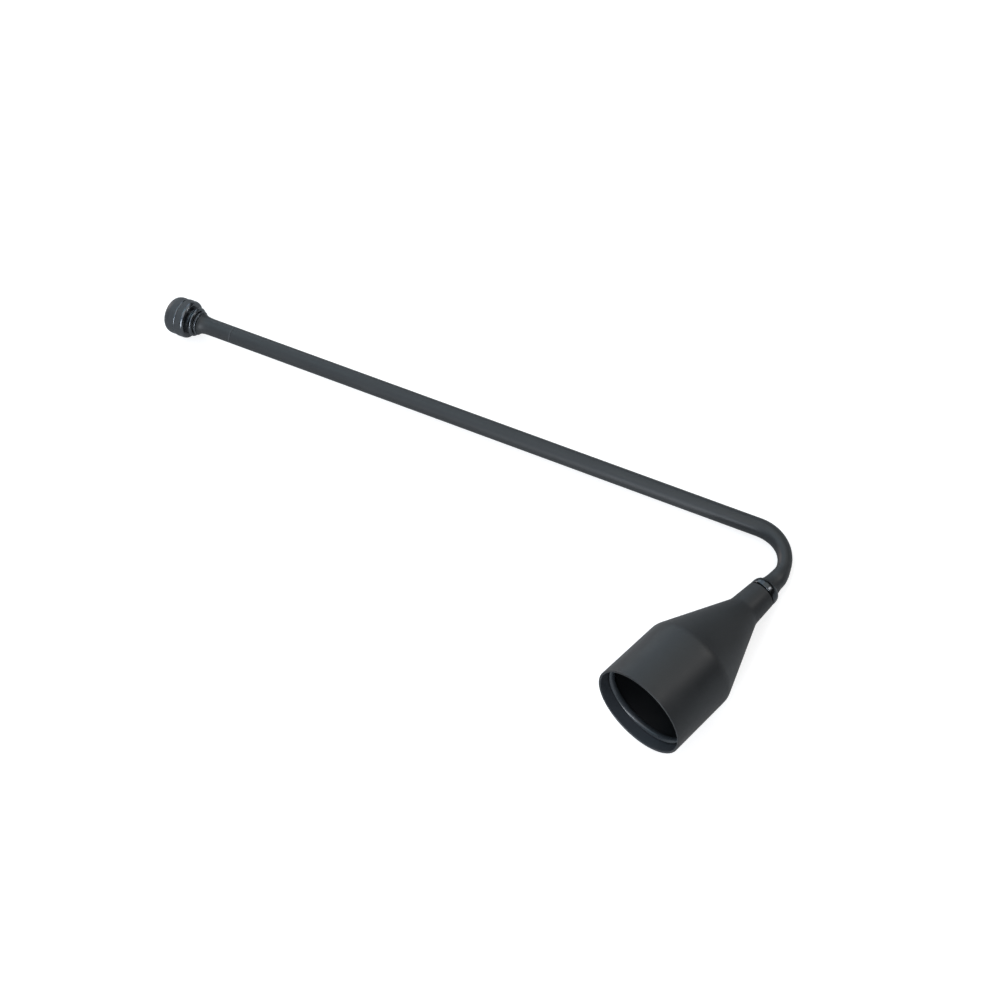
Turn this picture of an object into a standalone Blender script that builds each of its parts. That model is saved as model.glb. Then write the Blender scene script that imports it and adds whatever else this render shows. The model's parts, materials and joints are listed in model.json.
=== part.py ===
"""Candle snuffer: a bent steel handle with a turned knob, and a bell that turns on the handle's stud.

The handle's axis and the bell's axis lie in one plane and cross at a point outside the bend. That point is
the origin of the root empty. The bell's axis runs from it along -Y to the mouth, and the knob is on its -X
side. Sizes along the two axes are measured from that point. At the end the root empty lays the snuffer on
the floor, where it rests on its knob, its bend and the shoulder of its bell.
"""
import math

import bpy
from mathutils import Matrix, Vector

MM = 0.001

# Gaps between pieces
SEAT_GAP = 0.3 * MM
RUNNING_GAP = 0.3 * MM

# Handle rod: a spigot for the knob, a shank, a bend that thins to a waist, a flare and a stud
HANDLE_REACH = 200.55 * MM
ANGLE_ROD_TO_BELL = math.radians(73.73)
ROD_RADIUS = 2.5 * MM
BEND_RADIUS = 11.16 * MM
WAIST_DROP = 0.56 * MM
ANGLE_TO_WAIST = math.radians(80)
FLARE_LENGTH = 2.76 * MM
FLARE_RISE = 0.46 * MM
STUD_RADIUS = 1.5 * MM
STUD_TIP = 0.6 * MM
SPIGOT_STEP = 0.9 * MM

# Knob, from its domed end towards the rod; each rise is a radius beyond the rod's own
CAP_RISE = 3.0 * MM
CAP_CROWN = 0.4 * MM
CAP_EDGE_LENGTH = 2.66 * MM
CAP_EDGE_WIDTH = 2.55 * MM
CAP_RIM = 1.49 * MM
CAP_SOCKET_DEPTH = 1.95 * MM
BAND_RISE = 3.08 * MM
BAND_LENGTH = 3.55 * MM
BAND_FRONT_EDGE = 0.25 * MM
BAND_SHOULDER_LENGTH = 1.1 * MM
BAND_SHOULDER_WIDTH = 0.58 * MM
BAND_NECK_RISE = 1.45 * MM
BAND_NECK_LENGTH = 0.5 * MM
LARGE_BEAD_RISE = 1.82 * MM
LARGE_BEAD_LENGTH = 1.25 * MM
SMALL_BEAD_RISE = 1.1 * MM
SMALL_BEAD_LENGTH = 0.65 * MM
FERRULE_LENGTH = 10.85 * MM
FERRULE_MOUTH_RISE = 0.65 * MM
FERRULE_FADE = 0.9 * MM
FERRULE_FLARE_LENGTH = 4.2 * MM

# Collar between the rod's flare and the bell
COLLAR_LENGTH = 2.65 * MM
COLLAR_LEDGE = 0.15 * MM
COLLAR_DOME_WIDTH = 0.89 * MM
COLLAR_DOME_LENGTH = 1.7 * MM
COLLAR_LOWER_EDGE = 0.35 * MM

# Bell shell: a neck, a cone and a skirt
NECK_LENGTH = 7.3 * MM
NECK_OVERHANG = 0.03 * MM
NECK_TAPER = 0.5 * MM
NECK_TOP_EDGE = 0.2 * MM
NECK_FILLET = 5.0 * MM
CONE_LENGTH = 20.93 * MM
CONE_WALL = 1.1 * MM
SHOULDER_RADIUS = 12.96 * MM
SHOULDER_FILLET = 6.0 * MM
SKIRT_LENGTH = 19.68 * MM
SKIRT_WALL = 0.6 * MM
SKIRT_SPREAD = 0.19 * MM
LIP_EDGE = 0.1 * MM

# Sleeve inside the skirt, whose edge swells inwards as a low bead
SLEEVE_SETBACK = 2.95 * MM
SLEEVE_WALL = 0.5 * MM
SLEEVE_BEAD_HEIGHT = 0.8 * MM
SLEEVE_BEAD_LENGTH = 2.0 * MM

# Bearing inside the neck
BUSH_WALL = 0.7 * MM
FLANGE_RIM = 0.8 * MM
FLANGE_LENGTH = 0.8 * MM
FLANGE_CLEARANCE = 0.35 * MM
WASHER_RIM = 1.5 * MM
WASHER_LENGTH = 0.5 * MM
NUT_WALL = 0.95 * MM
NUT_LENGTH = 2.4 * MM

# Radii that follow
SPIGOT_RADIUS = ROD_RADIUS - SPIGOT_STEP
SPIGOT_BORE_RADIUS = SPIGOT_RADIUS + SEAT_GAP
STUD_BORE_RADIUS = STUD_RADIUS + RUNNING_GAP
BUSH_RADIUS = STUD_BORE_RADIUS + BUSH_WALL
FLANGE_RADIUS = BUSH_RADIUS + FLANGE_RIM
NECK_BORE_RADIUS = BUSH_RADIUS + SEAT_GAP
FLARE_RADIUS = ROD_RADIUS + FLARE_RISE
COLLAR_TOP_RADIUS = FLARE_RADIUS + COLLAR_LEDGE
COLLAR_RADIUS = COLLAR_TOP_RADIUS + COLLAR_DOME_WIDTH
NECK_TOP_RADIUS = COLLAR_RADIUS + NECK_OVERHANG
NECK_BASE_RADIUS = NECK_TOP_RADIUS + NECK_TAPER
MOUTH_RADIUS = SHOULDER_RADIUS + SKIRT_SPREAD
CAVITY_TOP_RADIUS = FLANGE_RADIUS + FLANGE_CLEARANCE

# The cone's slope, its wall measured across the axis, and the depths where its inner side starts and ends
CONE_SLOPE = (SHOULDER_RADIUS - NECK_BASE_RADIUS) / CONE_LENGTH
CONE_WALL_ACROSS = CONE_WALL * math.hypot(1, CONE_SLOPE)
BOSS_LENGTH = NECK_LENGTH + (CAVITY_TOP_RADIUS + CONE_WALL_ACROSS - NECK_BASE_RADIUS) / CONE_SLOPE
INNER_SHOULDER_DEPTH = (
    NECK_LENGTH + (SHOULDER_RADIUS - SKIRT_WALL + CONE_WALL_ACROSS - NECK_BASE_RADIUS) / CONE_SLOPE
)
BELL_LENGTH = NECK_LENGTH + CONE_LENGTH + SKIRT_LENGTH

# Places along the bell's axis
BEND_TANGENT = BEND_RADIUS / math.tan(ANGLE_ROD_TO_BELL / 2)
FLARE_END = BEND_TANGENT + FLARE_LENGTH
COLLAR_TOP = FLARE_END + SEAT_GAP
NECK_TOP = COLLAR_TOP + COLLAR_LENGTH + RUNNING_GAP
FLANGE_TOP = NECK_TOP + BOSS_LENGTH + SEAT_GAP
WASHER_TOP = FLANGE_TOP + FLANGE_LENGTH + RUNNING_GAP
NUT_TOP = WASHER_TOP + WASHER_LENGTH + SEAT_GAP
STUD_END = NUT_TOP + NUT_LENGTH + STUD_TIP

# Places along the handle's axis
CAP_LENGTH = CAP_CROWN + CAP_EDGE_LENGTH + CAP_RIM
BAND_TOP = HANDLE_REACH - CAP_LENGTH - SEAT_GAP
LARGE_BEAD_TOP = BAND_TOP - BAND_LENGTH - SEAT_GAP
SMALL_BEAD_TOP = LARGE_BEAD_TOP - LARGE_BEAD_LENGTH - SEAT_GAP
FERRULE_TOP = SMALL_BEAD_TOP - SMALL_BEAD_LENGTH - SEAT_GAP
SPIGOT_SHOULDER = FERRULE_TOP - FERRULE_LENGTH - SEAT_GAP
SPIGOT_END = HANDLE_REACH - CAP_LENGTH + CAP_SOCKET_DEPTH - SEAT_GAP

# Fineness of the meshes
BELL_SIDES = 64
KNOB_SIDES = 36
SMALL_SIDES = 32
ROD_SIDES = 24
BEND_STEPS = 18
FLARE_STEPS = 4
FLARE_SHARPNESS = 1.5
ROD_STEP_LENGTH = 0.02 * MM
MERGE_DISTANCE = 0.005 * MM
SHARP_ANGLE = math.radians(35)
SETTLING_ROUNDS = 12

# Linear RGB colours
BLACK_COAT = (0.022, 0.022, 0.024)
BRASS = (0.60, 0.42, 0.18)
STEEL = (0.45, 0.45, 0.46)
ZINC = (0.55, 0.55, 0.54)


def clear_scene():
    """Remove every object, so that the file holds only the snuffer."""
    for obj in list(bpy.data.objects):
        bpy.data.objects.remove(obj, do_unlink=True)


def new_collection(name):
    """Add a collection to the scene."""
    collection = bpy.data.collections.new(name)
    bpy.context.scene.collection.children.link(collection)
    return collection


def new_material(name, colour, roughness, metallic):
    """Make a Principled BSDF material with a sub-part's own look."""
    material = bpy.data.materials.new(name)
    material.use_nodes = True
    shader = material.node_tree.nodes["Principled BSDF"]
    shader.inputs["Base Color"].default_value = (*colour, 1.0)
    shader.inputs["Roughness"].default_value = roughness
    shader.inputs["Metallic"].default_value = metallic
    material.diffuse_color = (*colour, 1.0)
    return material


def new_empty(name, parent, collection):
    """Add an empty at its parent's origin."""
    empty = bpy.data.objects.new(name, None)
    empty.empty_display_size = 10 * MM
    empty.parent = parent
    collection.objects.link(empty)
    return empty


def arc(centre, across, along, start, end, steps):
    """Outline points on an ellipse about a (radius, height) centre, from one angle in degrees to another."""
    points = []
    for step in range(steps + 1):
        angle = math.radians(start + (end - start) * step / steps)
        points.append((centre[0] + across * math.cos(angle), centre[1] + along * math.sin(angle)))
    return points


def rounded_corner(before, corner, after, fillet, steps):
    """Outline points on the arc that rounds the corner between two straight lines."""
    corner = Vector(corner)
    back = (Vector(before) - corner).normalized()
    onward = (Vector(after) - corner).normalized()
    half_angle = back.angle(onward) / 2
    reach = fillet / math.tan(half_angle)
    centre = corner + (back + onward).normalized() * (fillet / math.sin(half_angle))
    start = corner + back * reach - centre
    end = corner + onward * reach - centre
    return [tuple(centre + fillet * start.slerp(end, step / steps)) for step in range(steps + 1)]


def turned(name, outline, height, material, axis, collection, sides):
    """Turn an outline about the Z axis of an empty, with its origin at a height on that axis.

    The outline is a list of (radius, height) pairs that runs down the outer side. It closes through the
    bore, or on the axis where it starts and ends at radius zero.
    """
    mesh = bpy.data.meshes.new(name)
    last = len(outline) - 1
    edges = [(index, index + 1) for index in range(last)]
    if outline[0][0] > 0:
        edges.append((last, 0))
    mesh.from_pydata([(radius, 0, level) for radius, level in outline], edges, [])
    piece = bpy.data.objects.new(name, mesh)
    collection.objects.link(piece)
    screw = piece.modifiers.new("Turn", "SCREW")
    screw.steps = sides
    screw.render_steps = sides
    screw.use_merge_vertices = True
    screw.merge_threshold = MERGE_DISTANCE
    piece.data = bpy.data.meshes.new_from_object(piece.evaluated_get(bpy.context.evaluated_depsgraph_get()))
    piece.modifiers.clear()
    bpy.data.meshes.remove(mesh)
    piece.data.name = name
    piece.data.shade_smooth()
    piece.data.set_sharp_from_angle(angle=SHARP_ANGLE)
    piece.data.materials.append(material)
    piece.parent = axis
    piece.location = (0, 0, height)
    return piece


def bend_radius_at(angle):
    """Give the rod's radius at an angle into the bend, where it draws in to the waist and swells again."""
    bend = math.pi - ANGLE_ROD_TO_BELL
    if angle < ANGLE_TO_WAIST:
        phase = angle / ANGLE_TO_WAIST
    else:
        phase = 1 + (angle - ANGLE_TO_WAIST) / (bend - ANGLE_TO_WAIST)
    return ROD_RADIUS - WAIST_DROP * (1 - math.cos(math.pi * phase)) / 2


def rod_stations():
    """List the rod's centre points and radii, from the spigot in the knob to the stud in the bell."""
    to_knob = Vector((-math.sin(ANGLE_ROD_TO_BELL), -math.cos(ANGLE_ROD_TO_BELL), 0))
    to_mouth = Vector((0, -1, 0))
    stations = [
        (to_knob * SPIGOT_END, SPIGOT_RADIUS),
        (to_knob * SPIGOT_SHOULDER, SPIGOT_RADIUS),
        (to_knob * (SPIGOT_SHOULDER - ROD_STEP_LENGTH), ROD_RADIUS),
    ]
    bend = math.pi - ANGLE_ROD_TO_BELL
    centre = (to_knob + to_mouth).normalized() * (BEND_RADIUS / math.sin(ANGLE_ROD_TO_BELL / 2))
    spoke = to_knob * BEND_TANGENT - centre
    for step in range(BEND_STEPS + 1):
        angle = bend * step / BEND_STEPS
        stations.append((centre + Matrix.Rotation(-angle, 3, "Z") @ spoke, bend_radius_at(angle)))
    for step in range(1, FLARE_STEPS + 1):
        share = step / FLARE_STEPS
        place = to_mouth * (BEND_TANGENT + FLARE_LENGTH * share)
        stations.append((place, ROD_RADIUS + FLARE_RISE * share ** FLARE_SHARPNESS))
    stations.append((to_mouth * (FLARE_END + ROD_STEP_LENGTH), STUD_RADIUS))
    stations.append((to_mouth * STUD_END, STUD_RADIUS))
    return stations


def make_handle_rod(root, collection):
    """Make the bent bar."""
    stations = rod_stations()
    curve = bpy.data.curves.new("handle_rod", "CURVE")
    curve.dimensions = "3D"
    curve.bevel_depth = ROD_RADIUS
    curve.bevel_resolution = ROD_SIDES // 2 - 2
    curve.use_fill_caps = True
    spline = curve.splines.new("POLY")
    spline.points.add(len(stations) - 1)
    for point, (place, radius) in zip(spline.points, stations):
        point.co = (*place, 1)
        point.radius = radius / ROD_RADIUS
    curve.materials.append(new_material("rod_powder_coat", BLACK_COAT, 0.48, 0.0))
    rod = bpy.data.objects.new("handle_rod", curve)
    rod.parent = root
    collection.objects.link(rod)
    return rod


def make_end_cap(axis, collection):
    """Make the knob's domed end, with a blind socket for the spigot."""
    radius = ROD_RADIUS + CAP_RISE
    face_radius = radius - CAP_EDGE_WIDTH
    crown_steps = 3
    outline = [(0, 0)]
    for step in range(1, crown_steps):
        share = step / crown_steps
        outline.append((face_radius * share, -CAP_CROWN * share ** 2))
    edge_centre = (face_radius, -CAP_CROWN - CAP_EDGE_LENGTH)
    outline += arc(edge_centre, CAP_EDGE_WIDTH, CAP_EDGE_LENGTH, 90, 0, 7)
    outline += [
        (radius, -CAP_LENGTH),
        (SPIGOT_BORE_RADIUS, -CAP_LENGTH),
        (SPIGOT_BORE_RADIUS, CAP_SOCKET_DEPTH - CAP_LENGTH),
        (0, CAP_SOCKET_DEPTH - CAP_LENGTH),
    ]
    coat = new_material("cap_powder_coat", BLACK_COAT, 0.42, 0.0)
    return turned("end_cap", outline, HANDLE_REACH, coat, axis, collection, KNOB_SIDES)


def make_knob_band(axis, collection):
    """Make the knob's widest ring, with a rounded shoulder and a short neck towards the beads."""
    radius = ROD_RADIUS + BAND_RISE
    neck_radius = ROD_RADIUS + BAND_NECK_RISE
    neck_start = BAND_LENGTH - BAND_NECK_LENGTH
    front_centre = (radius - BAND_FRONT_EDGE, -BAND_FRONT_EDGE)
    shoulder_centre = (radius - BAND_SHOULDER_WIDTH, BAND_SHOULDER_LENGTH - neck_start)
    outline = arc(front_centre, BAND_FRONT_EDGE, BAND_FRONT_EDGE, 90, 0, 3)
    outline += arc(shoulder_centre, BAND_SHOULDER_WIDTH, BAND_SHOULDER_LENGTH, 0, -90, 5)
    outline += [
        (neck_radius, -neck_start),
        (neck_radius, -BAND_LENGTH),
        (SPIGOT_BORE_RADIUS, -BAND_LENGTH),
        (SPIGOT_BORE_RADIUS, 0),
    ]
    coat = new_material("band_powder_coat", BLACK_COAT, 0.42, 0.0)
    return turned("knob_band", outline, BAND_TOP, coat, axis, collection, KNOB_SIDES)


def make_bead_ring(name, rise, length, top, axis, collection):
    """Make a ring with a half-round rim."""
    rim = length / 2
    outline = arc((ROD_RADIUS + rise - rim, -rim), rim, rim, 90, -90, 6)
    outline += [(SPIGOT_BORE_RADIUS, -length), (SPIGOT_BORE_RADIUS, 0)]
    coat = new_material(name + "_powder_coat", BLACK_COAT, 0.42, 0.0)
    return turned(name, outline, top, coat, axis, collection, KNOB_SIDES)


def make_ferrule(axis, collection):
    """Make the trumpet that fades from the beads to the rod's own radius."""
    flare_steps = 7
    crowding = 1.6
    outline = []
    for step in range(flare_steps):
        depth = FERRULE_FLARE_LENGTH * (step / flare_steps) ** crowding
        rise = FERRULE_MOUTH_RISE * math.exp(-depth / FERRULE_FADE)
        outline.append((ROD_RADIUS + rise, -depth))
    outline += [
        (ROD_RADIUS, -FERRULE_FLARE_LENGTH),
        (ROD_RADIUS, -FERRULE_LENGTH),
        (SPIGOT_BORE_RADIUS, -FERRULE_LENGTH),
        (SPIGOT_BORE_RADIUS, 0),
    ]
    coat = new_material("ferrule_powder_coat", BLACK_COAT, 0.48, 0.0)
    return turned("ferrule", outline, FERRULE_TOP, coat, axis, collection, SMALL_SIDES)


def make_neck_collar(axis, collection):
    """Make the domed collar at the foot of the rod."""
    edge = COLLAR_LOWER_EDGE
    outline = arc((COLLAR_TOP_RADIUS, -COLLAR_DOME_LENGTH), COLLAR_DOME_WIDTH, COLLAR_DOME_LENGTH, 90, 0, 5)
    outline += arc((COLLAR_RADIUS - edge, edge - COLLAR_LENGTH), edge, edge, 0, -90, 3)
    outline += [(STUD_BORE_RADIUS, -COLLAR_LENGTH), (STUD_BORE_RADIUS, 0)]
    coat = new_material("collar_powder_coat", BLACK_COAT, 0.42, 0.0)
    return turned("neck_collar", outline, -COLLAR_TOP, coat, axis, collection, KNOB_SIDES)


def inner_skirt_radius(depth):
    """Give the skirt's inner radius at a depth below the neck's top; it widens a little to the mouth."""
    share = (depth - NECK_LENGTH - CONE_LENGTH) / SKIRT_LENGTH
    return SHOULDER_RADIUS + SKIRT_SPREAD * share - SKIRT_WALL


def make_bell_shell(axis, collection):
    """Make the bell: a bored neck, a hollow cone and a thin skirt that ends in a flat lip."""
    neck_top = (NECK_TOP_RADIUS, 0)
    neck_base = (NECK_BASE_RADIUS, -NECK_LENGTH)
    shoulder = (SHOULDER_RADIUS, -NECK_LENGTH - CONE_LENGTH)
    mouth = (MOUTH_RADIUS, -BELL_LENGTH)
    inner_mouth = (MOUTH_RADIUS - SKIRT_WALL, -BELL_LENGTH)
    inner_shoulder = (inner_skirt_radius(INNER_SHOULDER_DEPTH), -INNER_SHOULDER_DEPTH)
    outline = rounded_corner((0, 0), neck_top, neck_base, NECK_TOP_EDGE, 2)
    outline += rounded_corner(neck_top, neck_base, shoulder, NECK_FILLET, 5)
    outline += rounded_corner(neck_base, shoulder, mouth, SHOULDER_FILLET, 6)
    outline += rounded_corner(shoulder, mouth, inner_mouth, LIP_EDGE, 2)
    outline += rounded_corner(mouth, inner_mouth, inner_shoulder, LIP_EDGE, 2)
    outline += [
        inner_shoulder,
        (CAVITY_TOP_RADIUS, -BOSS_LENGTH),
        (NECK_BORE_RADIUS, -BOSS_LENGTH),
        (NECK_BORE_RADIUS, 0),
    ]
    coat = new_material("bell_powder_coat", BLACK_COAT, 0.50, 0.0)
    return turned("bell_shell", outline, -NECK_TOP, coat, axis, collection, BELL_SIDES)


def make_bell_sleeve(axis, collection):
    """Make the sleeve in the skirt, from the cone's foot to a beaded edge a little way inside the mouth."""
    top = INNER_SHOULDER_DEPTH + SEAT_GAP
    top_radius = inner_skirt_radius(top) - SEAT_GAP
    bead_reach = SLEEVE_BEAD_LENGTH / 2
    bead_depth = BELL_LENGTH - SLEEVE_SETBACK - bead_reach
    bead_centre = (inner_skirt_radius(bead_depth) - SEAT_GAP, -bead_depth)
    wall_angle = math.degrees(math.acos(SLEEVE_WALL / SLEEVE_BEAD_HEIGHT))
    outline = [(top_radius, -top)]
    outline += arc(bead_centre, SLEEVE_BEAD_HEIGHT, bead_reach, -90, -180 - wall_angle, 10)
    outline.append((top_radius - SLEEVE_WALL, -top))
    coat = new_material("sleeve_powder_coat", BLACK_COAT, 0.38, 0.0)
    return turned("bell_sleeve", outline, -NECK_TOP, coat, axis, collection, BELL_SIDES)


def make_neck_bush(axis, collection):
    """Make the flanged bush in the neck, in which the stud turns."""
    shank = FLANGE_TOP - NECK_TOP
    outline = [
        (BUSH_RADIUS, 0),
        (BUSH_RADIUS, -shank),
        (FLANGE_RADIUS, -shank),
        (FLANGE_RADIUS, -shank - FLANGE_LENGTH),
        (STUD_BORE_RADIUS, -shank - FLANGE_LENGTH),
        (STUD_BORE_RADIUS, 0),
    ]
    brass = new_material("bush_brass", BRASS, 0.35, 1.0)
    return turned("neck_bush", outline, -NECK_TOP, brass, axis, collection, SMALL_SIDES)


def make_thrust_washer(axis, collection):
    """Make the washer that the bush's flange runs on."""
    outline = [
        (STUD_BORE_RADIUS + WASHER_RIM, 0),
        (STUD_BORE_RADIUS + WASHER_RIM, -WASHER_LENGTH),
        (STUD_BORE_RADIUS, -WASHER_LENGTH),
        (STUD_BORE_RADIUS, 0),
    ]
    steel = new_material("washer_steel", STEEL, 0.35, 1.0)
    return turned("thrust_washer", outline, -WASHER_TOP, steel, axis, collection, SMALL_SIDES)


def add_cylinder(name, sides, radius, length, middle, axis, collection):
    """Add a cylinder or prism along an empty's Z axis."""
    bpy.ops.mesh.primitive_cylinder_add(vertices=sides, radius=radius, depth=length)
    cylinder = bpy.context.object
    cylinder.name = name
    cylinder.data.name = name
    for home in list(cylinder.users_collection):
        home.objects.unlink(cylinder)
    collection.objects.link(cylinder)
    cylinder.parent = axis
    cylinder.location = (0, 0, middle)
    return cylinder


def make_retaining_nut(axis, collection, cutters):
    """Make the hexagon nut on the end of the stud, which keeps the bell on."""
    corner_radius = (STUD_BORE_RADIUS + NUT_WALL) / math.cos(math.radians(30))
    middle = -NUT_TOP - NUT_LENGTH / 2
    nut = add_cylinder("retaining_nut", 6, corner_radius, NUT_LENGTH, middle, axis, collection)
    bore_length = 2 * NUT_LENGTH
    bore = add_cylinder("nut_bore", SMALL_SIDES, STUD_BORE_RADIUS, bore_length, middle, axis, cutters)
    bore.hide_render = True
    bore.display_type = "WIRE"
    cut = nut.modifiers.new("Bore", "BOOLEAN")
    cut.operation = "DIFFERENCE"
    cut.solver = "EXACT"
    cut.object = bore
    nut.data.materials.append(new_material("nut_zinc", ZINC, 0.35, 1.0))
    return nut


def world_points(parts):
    """List the vertices of several objects in world space, as evaluated."""
    depsgraph = bpy.context.evaluated_depsgraph_get()
    points = []
    for part in parts:
        evaluated = part.evaluated_get(depsgraph)
        mesh = evaluated.to_mesh()
        points += [evaluated.matrix_world @ vertex.co for vertex in mesh.vertices]
        evaluated.to_mesh_clear()
    return points


def lay_down(root, feet):
    """Tip the root until each of the three feet touches the floor, with the mouth towards -Y and up.

    The feet are lists of objects: those of the knob, of the rod and of the bell.
    """
    up = Vector((0, 0, 1))
    for _ in range(SETTLING_ROUNDS):
        bpy.context.view_layer.update()
        knob, bend, shoulder = [min(world_points(parts), key=lambda point: point.z) for parts in feet]
        normal = (bend - knob).cross(shoulder - knob)
        if normal.z < 0:
            normal.negate()
        root.matrix_world = normal.rotation_difference(up).to_matrix().to_4x4() @ root.matrix_world
    mouth = root.matrix_world.to_3x3() @ Vector((0, -1, 0))
    root.matrix_world = Matrix.Rotation(-math.atan2(mouth.x, -mouth.y), 4, "Z") @ root.matrix_world
    bpy.context.view_layer.update()


def centre_on_floor(root, parts):
    """Move the root so that the world's origin is on the floor, under the middle of the parts."""
    points = world_points(parts)
    low = Vector([min(point[axis] for point in points) for axis in range(3)])
    high = Vector([max(point[axis] for point in points) for axis in range(3)])
    root.location -= Vector(((low.x + high.x) / 2, (low.y + high.y) / 2, low.z))
    bpy.context.view_layer.update()


def main():
    """Build the snuffer and lay it on the floor."""
    clear_scene()
    snuffer = new_collection("candle_snuffer")
    cutters = new_collection("cutters")
    root = new_empty("snuffer_root", None, snuffer)
    knob_axis = new_empty("knob_axis", root, snuffer)
    knob_axis.rotation_euler = (math.pi / 2, 0, -ANGLE_ROD_TO_BELL)
    stud_axis = new_empty("stud_axis", root, snuffer)
    stud_axis.rotation_euler = (-math.pi / 2, 0, 0)
    bell_axis = new_empty("bell_axis", root, snuffer)
    bell_axis.rotation_euler = (-math.pi / 2, 0, 0)

    rod = make_handle_rod(root, snuffer)
    knob = [
        make_end_cap(knob_axis, snuffer),
        make_knob_band(knob_axis, snuffer),
        make_bead_ring(
            "bead_ring_large", LARGE_BEAD_RISE, LARGE_BEAD_LENGTH, LARGE_BEAD_TOP, knob_axis, snuffer
        ),
        make_bead_ring(
            "bead_ring_small", SMALL_BEAD_RISE, SMALL_BEAD_LENGTH, SMALL_BEAD_TOP, knob_axis, snuffer
        ),
        make_ferrule(knob_axis, snuffer),
    ]
    fastenings = [
        make_neck_collar(stud_axis, snuffer),
        make_thrust_washer(stud_axis, snuffer),
        make_retaining_nut(stud_axis, snuffer, cutters),
    ]
    bell = [
        make_bell_shell(bell_axis, snuffer),
        make_bell_sleeve(bell_axis, snuffer),
        make_neck_bush(bell_axis, snuffer),
    ]
    lay_down(root, [knob, [rod], bell])
    centre_on_floor(root, [rod, *knob, *fastenings, *bell])


main()
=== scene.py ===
"""Looks of a candle snuffer: a powder-coated bar with a turned knob, and a bell that swivels on its end.

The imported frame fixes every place. Each turned piece is built about one of the frame's two axes: the
handle's, measured from the knob's end face, and the bell's, measured from the point where the two axes cross.
The snuffer's sizes are in millimetres and the studio's in metres. Meshes are in metres, in the frame's own
coordinates.
"""
from __future__ import annotations

import json
import logging
import math
from dataclasses import dataclass, field
from enum import Enum
from typing import Any, Sequence

import bmesh
import bpy
from mathutils import Matrix, Vector


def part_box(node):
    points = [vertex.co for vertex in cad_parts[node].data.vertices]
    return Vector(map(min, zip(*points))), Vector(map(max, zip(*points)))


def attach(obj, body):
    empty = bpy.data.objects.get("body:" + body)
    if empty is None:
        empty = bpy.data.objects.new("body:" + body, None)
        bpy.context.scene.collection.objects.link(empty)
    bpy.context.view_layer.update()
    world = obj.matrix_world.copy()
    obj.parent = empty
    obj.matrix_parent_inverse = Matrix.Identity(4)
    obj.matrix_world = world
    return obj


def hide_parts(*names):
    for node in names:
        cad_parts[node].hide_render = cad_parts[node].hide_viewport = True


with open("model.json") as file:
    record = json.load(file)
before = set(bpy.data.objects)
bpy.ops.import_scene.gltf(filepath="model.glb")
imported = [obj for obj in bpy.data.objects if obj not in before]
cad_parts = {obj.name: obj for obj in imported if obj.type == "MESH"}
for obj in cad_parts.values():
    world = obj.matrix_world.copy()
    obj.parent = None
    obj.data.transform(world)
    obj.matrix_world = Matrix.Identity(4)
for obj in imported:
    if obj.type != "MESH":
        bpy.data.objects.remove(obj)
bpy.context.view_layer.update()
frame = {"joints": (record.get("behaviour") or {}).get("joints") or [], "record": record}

MM = 0.001
BELL_SIDES = 256
KNOB_SIDES = 160
SMALL_SIDES = 96
ARC_STEP_DEG = 5.0
SHARP_DEG = 32.0
WELD_MM = 0.001
# Nearly all of a noise texture's values lie between these two.
NOISE_LOW = 0.3
NOISE_HIGH = 0.7
# A wave texture of scale one repeats at this step.
WAVE_STEP = math.tau / 20

log = logging.getLogger("snuffer")

Point = tuple[float, float]
Corner = tuple[float, float, float]


class Body(Enum):
    """The moving bodies of the frame."""

    HANDLE = "handle"
    BELL = "bell"


class Slot(Enum):
    """The record's material slots."""

    ROD = "rod_coat"
    KNOB = "knob_coat"
    COLLAR = "collar_coat"
    BELL = "bell_coat"
    SLEEVE = "sleeve_coat"
    BUSH = "bush_brass"
    WASHER = "washer_steel"
    NUT = "nut_zinc"


def linear(hex_colour: str) -> tuple[float, float, float, float]:
    """Turn an sRGB hex colour into linear RGBA.

    Args:
        hex_colour: six hex digits after a hash sign.

    Returns:
        Linear red, green and blue, and an alpha of one.
    """
    channels = [int(hex_colour[place:place + 2], 16) / 255 for place in (1, 3, 5)]
    red, green, blue = [
        value / 12.92 if value <= 0.04045 else ((value + 0.055) / 1.055) ** 2.4 for value in channels
    ]
    return red, green, blue, 1.0


def look_back(azimuth_deg: float, elevation_deg: float) -> Vector:
    """Give the direction from the snuffer to a camera or lamp.

    Args:
        azimuth_deg: the angle round the snuffer, where 0 is its front and 90 its right.
        elevation_deg: the angle above the floor.

    Returns:
        A unit vector.
    """
    azimuth = math.radians(azimuth_deg)
    elevation = math.radians(elevation_deg)
    level = math.cos(elevation)
    return Vector((math.sin(azimuth) * level, -math.cos(azimuth) * level, math.sin(elevation)))


def per_metre(size_mm: float) -> float:
    """Give the texture scale at which one cell of a pattern is as wide as a size in millimetres."""
    return 1.0 / (size_mm * MM)


def add_node(
    tree: bpy.types.NodeTree,
    kind: str,
    inputs: dict[str | int, Any] | None = None,
    settings: dict[str, Any] | None = None,
) -> bpy.types.Node:
    """Add a shader node, set its properties, and fill or link its inputs.

    Args:
        tree: the node tree that the node goes into.
        kind: the node's type name without its ShaderNode prefix.
        inputs: a value, or another node's output socket, for each input's name or index.
        settings: a value for each property of the node.

    Returns:
        The new node.
    """
    node = tree.nodes.new("ShaderNode" + kind)
    for name, value in (settings or {}).items():
        setattr(node, name, value)
    for name, value in (inputs or {}).items():
        if isinstance(value, bpy.types.NodeSocket):
            tree.links.new(value, node.inputs[name])
        else:
            node.inputs[name].default_value = value
    return node


def new_tree(name: str) -> tuple[bpy.types.Material, bpy.types.NodeTree]:
    """Make a material with an empty node tree.

    Args:
        name: the material's name.

    Returns:
        The material and its tree.
    """
    material = bpy.data.materials.new(name)
    material.use_nodes = True
    material.node_tree.nodes.clear()
    return material, material.node_tree


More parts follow.
